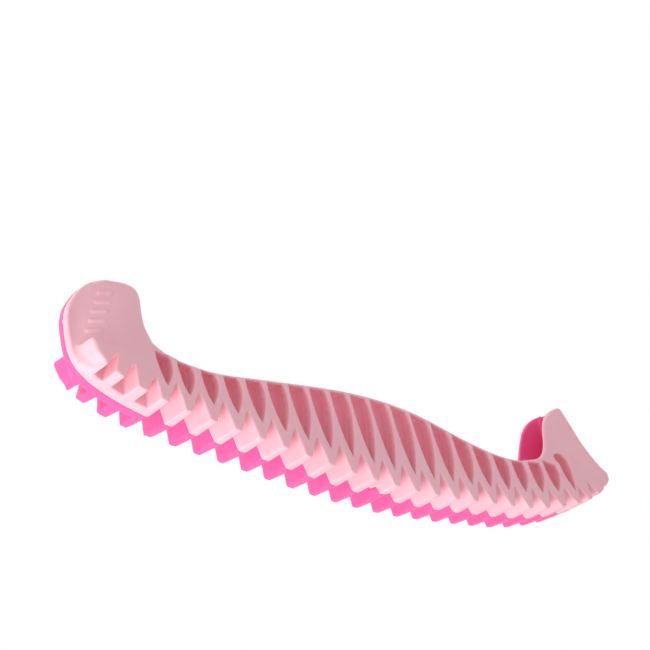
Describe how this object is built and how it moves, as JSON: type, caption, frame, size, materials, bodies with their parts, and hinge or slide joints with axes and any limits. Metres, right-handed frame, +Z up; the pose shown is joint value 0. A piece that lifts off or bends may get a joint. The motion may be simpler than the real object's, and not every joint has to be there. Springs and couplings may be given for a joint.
{
  "type": "skate blade guard",
  "caption": "Walking guard for a figure skate blade: two moulded half shells joined on the mid-plane, toothed tread sole, toe pocket, blade channel and a sprung slider inside the heel hood.",
  "frame": {"origin": "on the mid-plane, half way between heel and toe, at the height of the lowest tread teeth", "axes": "+X to the toe, +Y to the far (hot pink) half, +Z up, out of the blade channel"},
  "size_m": [0.275, 0.0242, 0.0612],
  "materials": {
    "light_pink_plastic": "satin moulded plastic, slightly soft",
    "hot_pink_plastic": "satin moulded plastic, slightly soft",
    "pin_plastic": "plain moulded plastic",
    "slider_plastic": "plain moulded plastic",
    "bumper_rubber": "soft matt rubber",
    "steel": "plain drawn stainless steel"
  },
  "bodies": {
    "shells": {"near_shell": "light_pink_plastic", "far_shell": "hot_pink_plastic", "joining_pins": "pin_plastic", "spring_seat_washer": "steel"},
    "slider": {"tail_slider": "slider_plastic", "tail_bumper": "bumper_rubber", "guide_rod": "steel", "tail_spring": "steel"}
  },
  "joints": [
    {"name": "slider_travel", "type": "slide", "parent": "shells", "child": "slider", "axis": [1, 0, 0], "range_m": [-0.005, 0], "stiffness_N_per_m": 900, "springref_m": 0.003, "deforming": ["tail_spring"]}
  ]
}
